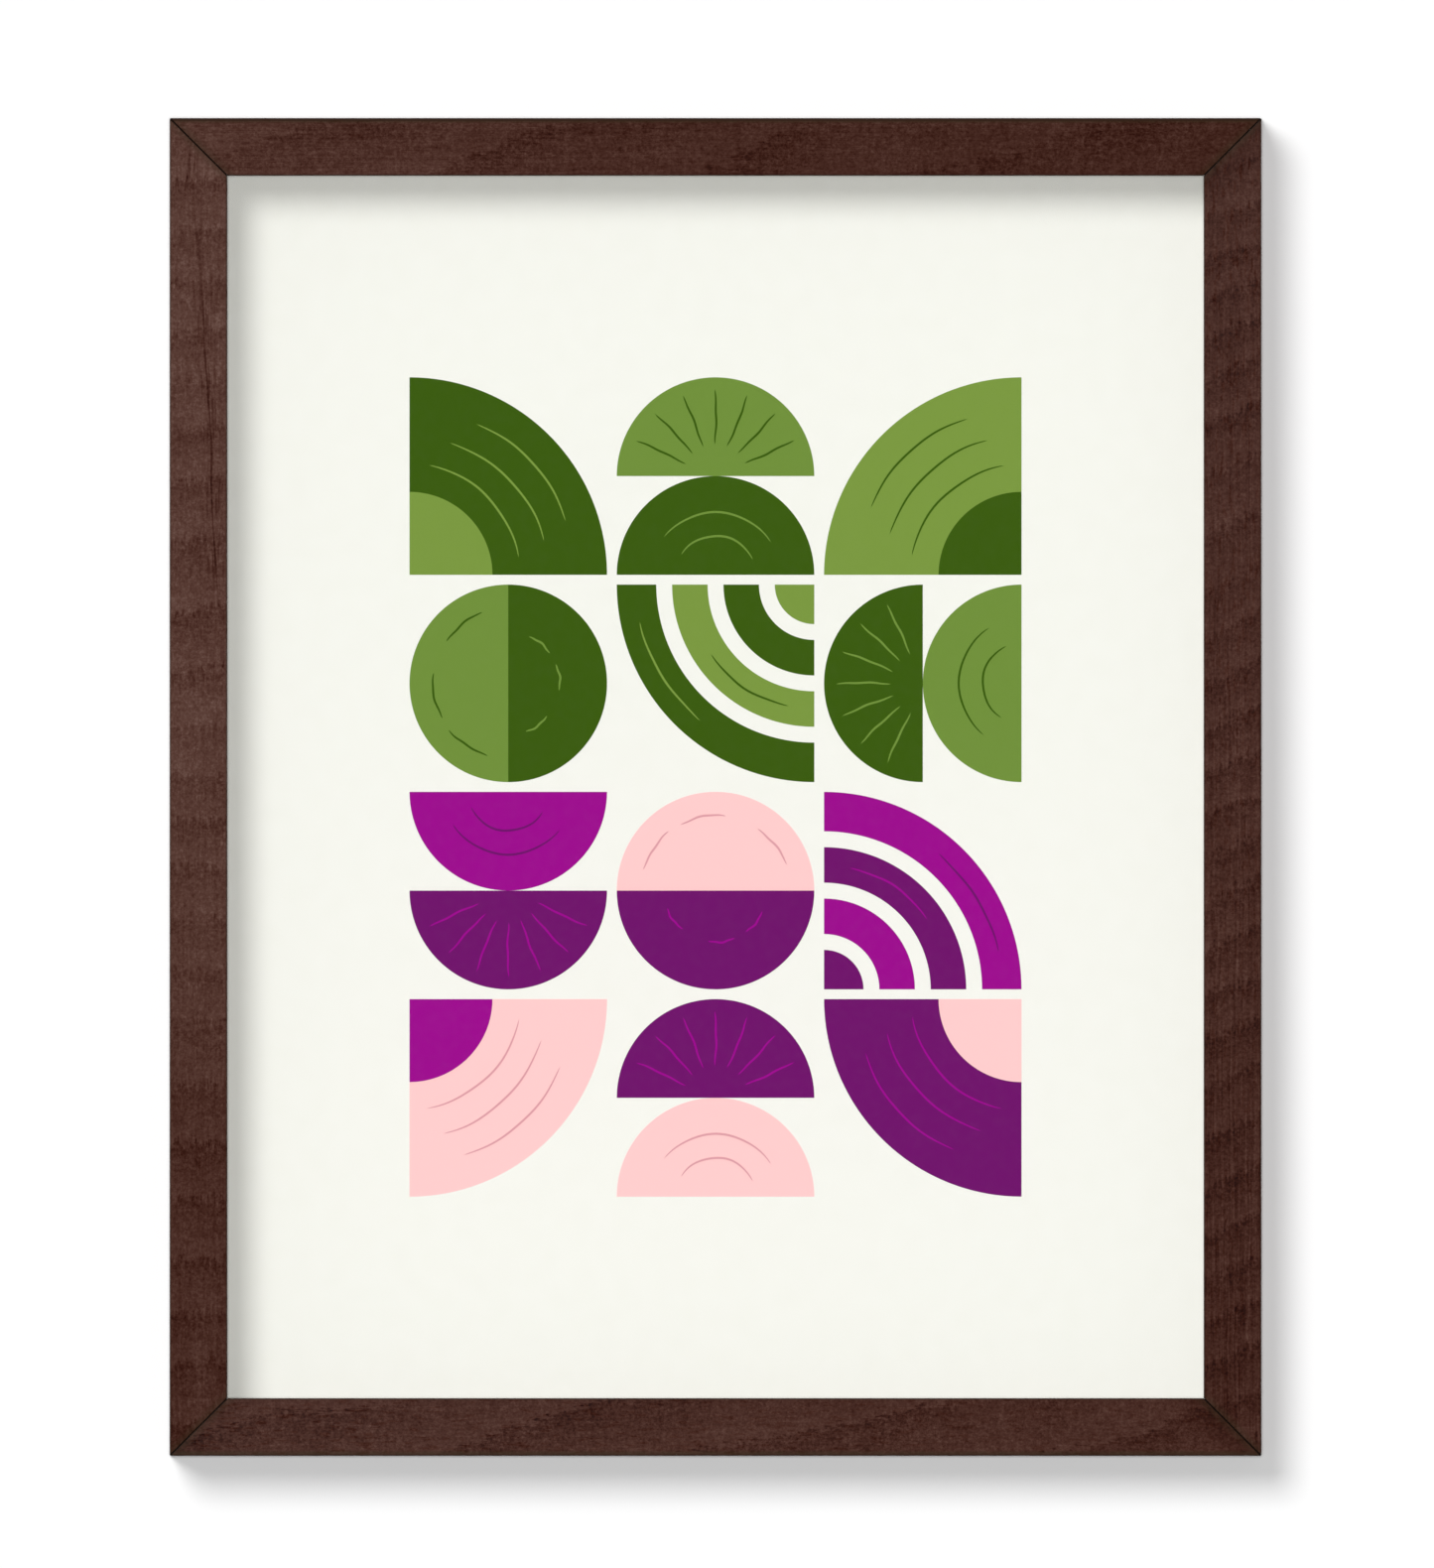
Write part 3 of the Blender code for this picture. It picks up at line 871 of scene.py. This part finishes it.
def spacer_wood(name, level, seed):
    """Fibres and longer streaks, both noise that is stretched along the strip."""
    wood = Finish(name)
    x, y, z = wood.place()
    run, across = (x, z) if level else (z, x)
    fibre = wood.noise((run + seed) * 60, across * 1300, y * 1300, detail=3)
    streak = wood.noise((run + seed) * 12, across * 300, y * 300)
    shade = 0.5 + (fibre - 0.5) * 0.7 + (streak - 0.5) * 0.4
    colour = wood.add("ValToRGB", {"stops": SPACER_STAIN}, {0: shade})
    return wood.surface(colour, 0.7, fibre, GRAIN_DEPTH, Specular_IOR_Level=WOOD_SHEEN)


dress(["spacer_top", "spacer_bottom"], spacer_wood("spacer_level", True, 31.0))
dress(["spacer_left", "spacer_right"], spacer_wood("spacer_upright", False, 37.0))
print("spacers %.1f mm deep" % (1000 * (spacer_high.y - spacer_low.y)))

# %% [markdown]
# ## Hardboard back
#
# Hardboard is wood pulp pressed hard. Its smooth side is a warm brown, mottled by fibre bundles that lie
# every way. Two slants of short dark marks and two of pale ones are enough to look like every way, with
# small specks over them and a cloudy tone under them.

# %% Hardboard
BOARD = srgb(138, 101, 68)
BOARD_PALE = srgb(170, 134, 96)
BOARD_DARK = srgb(88, 58, 36)


def hardboard():
    """Pulp and cloud in the tone, then dark fibres, pale fibres and dark specks laid over each other."""
    board = Finish("pressed_board")
    x, y, z = board.place()
    cloud = board.even(14, detail=3)
    pulp = board.even(340, detail=3, roughness=0.8)
    bend = (board.even(110) - 0.5) * 0.003

    def fibres(lean):
        """Noise about 0.5 with short marks that lean so many degrees from level."""
        rise, run = math.sin(math.radians(lean)), math.cos(math.radians(lean))
        along, across = x * run + z * rise, z * run - x * rise + bend
        return board.noise(along * 420 + lean, y * 900, across * 1700, detail=1)

    dark = fibres(20).most(fibres(-55))
    pale = fibres(75).most(fibres(-15))
    speck = board.even(1300, detail=1)
    colour = board.mix((pulp - 0.5) * 1.2 + cloud.rise(0.3, 0.7) * 0.18 + 0.2, BOARD, BOARD_PALE)
    colour = board.mix(dark.rise(0.55, 0.8) * 0.6, colour, BOARD_DARK)
    colour = board.mix(pale.rise(0.57, 0.8) * 0.6, colour, BOARD_PALE)
    colour = board.mix(speck.rise(0.66, 0.8) * 0.7, colour, BOARD_DARK)
    height = dark * 0.5 + pale * 0.5 + pulp * 0.4
    return board.surface(colour, 0.62, height, depth=0.00008, Specular_IOR_Level=0.3)


dress(["backing"], hardboard())
print("backing %.1f mm" % (1000 * (board_high.y - board_low.y)))

# %% [markdown]
# ## Plated metal
#
# The points and V-nails are zinc-plated strip, and the hanger and its nails are brass-plated. Plated
# strip is never one even tone: rolling leaves long faint lines, the plating has a soft spangle, and a
# thumb leaves duller patches. All of that is in the roughness and in a bump of a few thousandths of a
# millimetre.


# %% Metals
def plated(name, colour, dull):
    """A plated metal of one colour with patches of a duller one."""
    metal = Finish(name)
    x, y, z = metal.place()
    point = metal.add("TexCoord", out="Object")
    spangle = metal.add("TexVoronoi", {"feature": "F1"}, {"Vector": point, "Scale": 900.0})
    rolled = metal.noise(x * 300, y * 300, z * 4200, detail=3)
    patch = metal.even(160, detail=3).rise(0.4, 0.75)
    shown = metal.mix(patch * 0.6 + (spangle - 0.5) * 0.2, colour, dull)
    roughness = 0.3 + patch * 0.14 + (rolled - 0.5) * 0.12
    return metal.surface(shown, roughness, height=rolled + spangle * 0.5, depth=0.00001, Metallic=1.0)


zinc = plated("zinc_plate", srgb(196, 198, 196), srgb(150, 153, 154))
brass = plated("brass_plate", srgb(206, 176, 118), srgb(164, 134, 84))
print("metals:", zinc.name, brass.name)

# %% [markdown]
# ## Retaining points
#
# A point is a small tongue of strip steel, shot into the rail over the backing. Its free end is lifted a
# little where a screwdriver bent it, and a rib is pressed along it. It is one function: the section of
# the strip, a rectangle with round edges, is carried along the tongue while its width follows the
# outline and its height follows the rib and the lift.

# %% Points
POINT_WIDTH = 0.006
POINT_INSIDE = 0.009
POINT_IN_RAIL = 0.006
POINT_TIP = 0.003
POINT_CORNER = 0.001
POINT_ROWS = 48
RIB = 0.00025
RIB_WIDTH = 0.0012
RIB_START = 0.002
LIFT = 0.0004
ROUND = 0.00012


def strip_section(thick, columns=9):
    """Half widths from -1 to 1, heights, and how far each point is drawn in by the rounded edge, once round
    a flat strip: along its back, round one edge, along its front and round the other."""
    edge = np.linspace(-math.pi / 2, math.pi / 2, 9)
    flat = np.linspace(-1, 1, columns)[1:-1]
    end, level = np.ones(len(edge)), np.ones(len(flat))
    curve = ROUND * (1 - np.cos(edge))
    side = np.concatenate([flat, end, -flat, -end])
    height = thick / 2 * np.concatenate([-level, np.sin(edge), level, -np.sin(edge)])
    drawn_in = np.concatenate([0 * level, curve, 0 * level, curve])
    return side, height, drawn_in


def point_rings(thick):
    """Rings along a point, as (across, away from the board, along), with along = 0 at the rabbet's wall.
    The free end has quarter circle corners, the other a straight taper. The rib is a bell curve across, and
    the lift grows as a square."""
    side, height, drawn_in = strip_section(thick)
    along = np.linspace(-POINT_INSIDE, POINT_IN_RAIL, POINT_ROWS)[:, None]
    from_end = along + POINT_INSIDE
    corner = np.sqrt(np.clip(1 - (1 - from_end / POINT_CORNER).clip(0, 1) ** 2, 0, 1))
    taper = ((POINT_IN_RAIL - along) / POINT_TIP).clip(0, 1)
    half = (POINT_WIDTH / 2 - POINT_CORNER * (1 - corner)) * taper + ROUND
    across = side * half - np.sign(side) * drawn_in
    bulge = RIB * np.exp(-((across / RIB_WIDTH) ** 2)) * (from_end / RIB_START).clip(0, 1)
    lifted = LIFT * ((-along - POINT_INSIDE / 2) / (POINT_INSIDE / 2)).clip(0, 1) ** 2
    return np.stack(np.broadcast_arrays(across, height + bulge + lifted, along), -1)


def nodes_named(start):
    """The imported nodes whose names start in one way, in order."""
    return sorted(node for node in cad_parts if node.startswith(start))


for node in nodes_named("point_"):
    side = node.split("_")[1]
    low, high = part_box(node)
    middle = (low + high) / 2
    across, away, along = np.moveaxis(point_rings(high.y - low.y), -1, 0)
    rabbet_wall = sight_edge(side)[0] + LIP_WIDTH
    station = np.dot(RAILS[side][1], (middle.x, middle.z - CENTRE_Z))
    rings = on_rail(side, rabbet_wall + along, middle.y + away, station + across)
    new_piece("zinc_" + node, tube_parts(rings), zinc, [node])
print("points:", len(nodes_named("point_")))

# %% [markdown]
# ## V-nails
#
# A V-nail is a bent ribbon of steel that pulls a mitre together from the back. From there only its edge
# shows: a small V whose two legs lie along the two rails. The path is two straight legs with a quarter
# circle between them, and the section is a thin rectangle that is as deep as the nail is long.

# %% V-nails
V_BEND = 0.0009
V_THICK = 0.0006
PROUD = 0.00004  # how far the driven edge stands out of the wood


def v_path(leg):
    """Points and normals from the end of one leg, round the bend and out along the other leg."""
    normals = np.column_stack([np.sin(QUARTER), np.cos(QUARTER)])
    points = np.concatenate([[[-leg, 0]], (normals - 1) * V_BEND, [[0, -leg]]])
    return points, np.concatenate([[[0, 1]], normals, [[1, 0]]])


for node in nodes_named("v_nail_"):
    low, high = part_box(node)
    right = 1 if "right" in node else -1
    up = 1 if "top" in node else -1
    points, normals = v_path(high.x - low.x - V_THICK / 2)
    corner_x = (high.x if right > 0 else low.x) - right * V_THICK / 2
    corner_z = (high.z if up > 0 else low.z) - up * V_THICK / 2
    depths = np.array([low.y, BACK_Y + PROUD, BACK_Y + PROUD, low.y])
    sides = np.array([-1, -1, 1, 1]) * V_THICK / 2
    out, rise = np.moveaxis(points[:, None, :] + normals[:, None, :] * sides[:, None], -1, 0)
    rings = np.stack(np.broadcast_arrays(corner_x + right * out, depths, corner_z + up * rise), -1)
    new_piece("steel_" + node, tube_parts(rings), zinc, [node])
print("V-nails:", len(nodes_named("v_nail_")))

# %% [markdown]
# ## Sawtooth hanger
#
# The hanger is stamped from brass-plated strip: two flat tabs lie on the rail, and the middle stands out
# so that a nail can slip behind its teeth. Along its length the strip's height above the rail is a
# smooth step up and down. Its upper edge is straight, and its lower edge is a row of rounded notches,
# which a power of a cosine gives.

# %% Hanger
STRIP = 0.0009
HANGER_RAISED = 0.040
HANGER_SLOPE = 0.003
TOOTH_PITCH = 0.004
TOOTH_DEPTH = 0.002
TOOTH_ROUNDING = 0.8  # the wave's power: the larger it is, the rounder the tips
NOTCHES = 9
LAST_TOOTH = 0.02  # how far past its last notch the wave goes on, in notches
HANGER_COLUMNS = 520
HANGER_CORNER = 0.0012

hanger_low, hanger_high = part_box("hanger")


def smooth_step(values):
    """3t squared less 2t cubed, for t held between 0 and 1."""
    t = np.clip(values, 0, 1)
    return t * t * (3 - 2 * t)


def hanger_rings():
    """The strip's section at each x. Its middle is the smooth step, its notches are the cosine squared to
    a power, and the section leans with the slope, so that the strip keeps its thickness."""
    side, height, drawn_in = strip_section(STRIP, columns=5)
    x = np.linspace(hanger_low.x, hanger_high.x, HANGER_COLUMNS)
    foot = HANGER_RAISED / 2 + HANGER_SLOPE
    step = smooth_step((foot - abs(x)) / HANGER_SLOPE)
    tab = hanger_low.y + STRIP / 2
    raised = hanger_high.y - STRIP / 2
    middle = tab + (raised - tab) * step
    slope = np.gradient(middle, x)
    tilt = 1 / np.sqrt(1 + slope**2)
    toothed = abs(x) < (NOTCHES / 2 + LAST_TOOTH) * TOOTH_PITCH
    wave = np.cos(math.pi * x / TOOTH_PITCH) ** 2
    notch = TOOTH_DEPTH * np.where(toothed, wave**TOOTH_ROUNDING, 0)
    from_tip = (hanger_high.x - abs(x)).clip(0, HANGER_CORNER)
    corner = HANGER_CORNER - np.sqrt(HANGER_CORNER**2 - (HANGER_CORNER - from_tip) ** 2)
    bottom = hanger_low.z + notch + corner
    top = hanger_high.z - corner
    centre = ((bottom + top) / 2)[:, None]
    half = ((top - bottom) / 2)[:, None]
    z = centre + side * half - np.sign(side) * drawn_in
    y = middle[:, None] + height * tilt[:, None]
    along = x[:, None] - height * (slope * tilt)[:, None]
    return np.stack(np.broadcast_arrays(along, y, z), -1)


new_piece("brass_hanger", tube_parts(hanger_rings()), brass, ["hanger"])
print("hanger %.0f mm long" % (1000 * (hanger_high.x - hanger_low.x)))

# %% Hanger nails
NAIL_SHANK = 0.001
NAIL_EASE = 0.0001
NAIL_RIM = 0.0002
NAIL_DOME = 0.0007
NAIL_SIDES = 48


def domed_nail(low, high):
    """A round nail about Y: point, shank, flat under the head, and a head that is a low dome."""
    head = (high.x - low.x) / 2
    under = high.y - NAIL_RIM - NAIL_DOME
    point, neck = [0, low.y], [NAIL_SHANK, low.y + 2 * NAIL_SHANK]
    shank = [point, neck, [NAIL_SHANK, under], [head - NAIL_EASE, under]]
    cap = np.column_stack([head * np.cos(QUARTER), under + NAIL_RIM + NAIL_DOME * np.sin(QUARTER)])
    return np.concatenate([shank, cap])


for side in ("left", "right"):
    low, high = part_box("hanger_nail_" + side)
    parts = turned_parts(domed_nail(low, high), NAIL_SIDES, (low + high) / 2)
    new_piece("brass_nail_" + side, parts, brass, ["hanger_nail_" + side])
print("nail heads %.1f mm across" % (1000 * (high.x - low.x)))

# %% [markdown]
# ## Bumpers
#
# Two black rubber discs keep the lower edge off the wall. They are turned shapes with a soft shoulder.

# %% Bumpers
BUMPER_SHOULDER = 0.0011
BUMPER_EASE = 0.0002
BUMPER_SIDES = 56


def rubber():
    """Black rubber with a fine grain in its height and patches of paler dust."""
    soft = Finish("black_rubber")
    grain = soft.even(2600)
    dust = soft.even(400, detail=3).rise(0.5, 0.8)
    colour = soft.mix(dust * 0.35, srgb(38, 38, 40), srgb(92, 90, 86))
    return soft.surface(colour, 0.78 + dust * 0.12, height=grain, depth=0.00003, Specular_IOR_Level=0.4)


rubber_finish = rubber()
for side in ("left", "right"):
    low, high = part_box("bumper_" + side)
    radius = (high.x - low.x) / 2
    foot = [[0, low.y], [radius - BUMPER_EASE, low.y], [radius, low.y + BUMPER_EASE]]
    curve = BUMPER_SHOULDER * (1 - np.column_stack([np.cos(QUARTER), np.sin(QUARTER)]))
    profile = np.concatenate([foot, [radius, high.y] - curve, [[0, high.y]]])
    parts = turned_parts(profile, BUMPER_SIDES, (low + high) / 2)
    new_piece("rubber_bumper_" + side, parts, rubber_finish, ["bumper_" + side])
print("bumpers %.1f mm thick" % (1000 * (high.y - low.y)))

# %% [markdown]
# ## Wall, floor and light
#
# The print hangs on a plain pale wall over a pale floor. The wall is there for the camera alone and only
# from the front, so that the back of the frame can be looked at too. It stands right at the rails' back,
# 3 mm in front of the bumpers' backs, because the shadow in the photograph starts hard at the frame.
#
# The photograph's light is simple: a soft light from the upper left throws a shadow of the rails on the
# paper and on the wall, and a flat light from straight ahead keeps those shadows pale. The frontal
# light is small, so it lights the wall right up to the frame, and it leaves no reflections of its own.
# The other lamps stand beside and behind the frame and reach only its sides and its back. The room is
# dark in what the front mirrors, and bright in what the metal on the back mirrors. Seen from low down,
# the glazing would mirror the soft light and veil the print, so light linking keeps that light off it.

# %% Stage
WALL_HALF = 3.0
WALL_Y = BACK_Y - 0.0002  # a hair into the rails, so that no light slips between
FLOOR_Z = CENTRE_Z - 1.1
FLOOR_HALF = 9.0


def flat_sheet(name, low, high, material, unseen_by):
    """A rectangle from its lowest corner to its highest, which faces up if it is level, or else the front,
    and which some kinds of ray don't see."""
    mesh = bpy.data.meshes.new(name)
    (left, front, bottom), (right, back, top) = low, high
    corners = [(left, front, bottom), (right, front, bottom), (right, back, top), (left, back, top)]
    mesh.from_pydata(corners, [], [(0, 1, 2, 3)])
    mesh.materials.append(material)
    sheet = bpy.data.objects.new(name, mesh)
    for ray in unseen_by:
        setattr(sheet, "visible_" + ray, False)
    bpy.context.scene.collection.objects.link(sheet)


def wall_paint():
    """Matte from the front and clear from behind, by which side of the wall a ray meets."""
    paint = Finish("wall_paint")
    back = paint.add("NewGeometry", out="Backfacing")
    matte = paint.add("BsdfDiffuse", sockets={"Color": grey(0.92)})
    clear = paint.add("BsdfTransparent")
    return paint.show(paint.add("MixShader", sockets={0: back, 1: matte, 2: clear}))


def floor_paint():
    """A matte grey that also glows a little, so that it stays pale with no lamp above it."""
    return Finish("floor_paint").surface(grey(0.8), 0.9, Emission_Color=grey(1), Emission_Strength=0.45)


flat_sheet(
    "wall",
    (-WALL_HALF, WALL_Y, FLOOR_Z),
    (WALL_HALF, WALL_Y, WALL_HALF),
    wall_paint(),
    ("diffuse", "glossy", "transmission", "shadow"),
)
flat_sheet(
    "floor",
    (-FLOOR_HALF, -FLOOR_HALF, FLOOR_Z),
    (FLOOR_HALF, FLOOR_HALF, FLOOR_Z),
    floor_paint(),
    ("diffuse", "glossy"),
)
print("wall %.0f m wide, floor %.1f m below the print's middle" % (2 * WALL_HALF, CENTRE_Z - FLOOR_Z))

# %% Light
LIGHTS = (
    # name, way it shines, strength, angle in degrees, and whether it shows in reflections
    ("key", (0.41, 1.0, -0.472), 1.78, 26, True),
    ("fill", (0.0, 1.0, 0.0), 1.64, 4, False),
    ("behind_right", (-0.7, -1.0, -0.55), 1.8, 30, True),
    ("behind_left", (0.9, -0.7, -0.3), 0.8, 40, False),
    ("beside_right", (-1.0, -0.25, -0.3), 0.9, 12, False),
)
WORLD_LIGHT = 0.12
WORLD_SEEN = 0.92
WORLD_MIRRORED = 0.08  # what the front mirrors
WORLD_BEHIND = 0.75  # what the back mirrors


def from_minus_z(way):
    """The turn that points a lamp, which shines along its own -Z, along a given way: a tilt about X by the
    angle between them, and then a turn about Z."""
    x, y, z = unit(np.array(way))
    return math.acos(-z), 0, math.atan2(x, -y) + math.pi


for name, way, strength, angle, mirrored in LIGHTS:
    lamp = bpy.data.lights.new(name, "SUN")
    lamp.energy = strength
    lamp.angle = math.radians(angle)
    light = bpy.data.objects.new(name, lamp)
    light.rotation_euler = from_minus_z(way)
    light.visible_glossy = mirrored
    bpy.context.scene.collection.objects.link(light)

no_glare = bpy.data.collections.new("no_glare")
no_glare.objects.link(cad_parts["glazing"])
no_glare.collection_objects[0].light_linking.link_state = "EXCLUDE"
bpy.data.objects["key"].light_linking.receiver_collection = no_glare

room = Finish("room", "worlds")
way = room.add("TexCoord", out="Generated")
backward = room.add("SeparateXYZ", sockets={0: way}, out="Y").rise(0.0, 0.6)
glossy = room.add("LightPath", out="Is Glossy Ray")
seen = room.add("LightPath", out="Is Camera Ray")
mirrored = WORLD_MIRRORED + backward * (WORLD_BEHIND - WORLD_MIRRORED)
strength = glossy * (mirrored - WORLD_LIGHT) + WORLD_LIGHT
strength = seen * (WORLD_SEEN - strength) + strength
sky = room.add("Background", sockets={"Color": grey(1), "Strength": strength})
room.add("OutputWorld", sockets={"Surface": sky})
bpy.context.scene.world = room.material
bpy.context.scene.view_settings.view_transform = "Standard"
print("lights:", ", ".join(light[0] for light in LIGHTS))
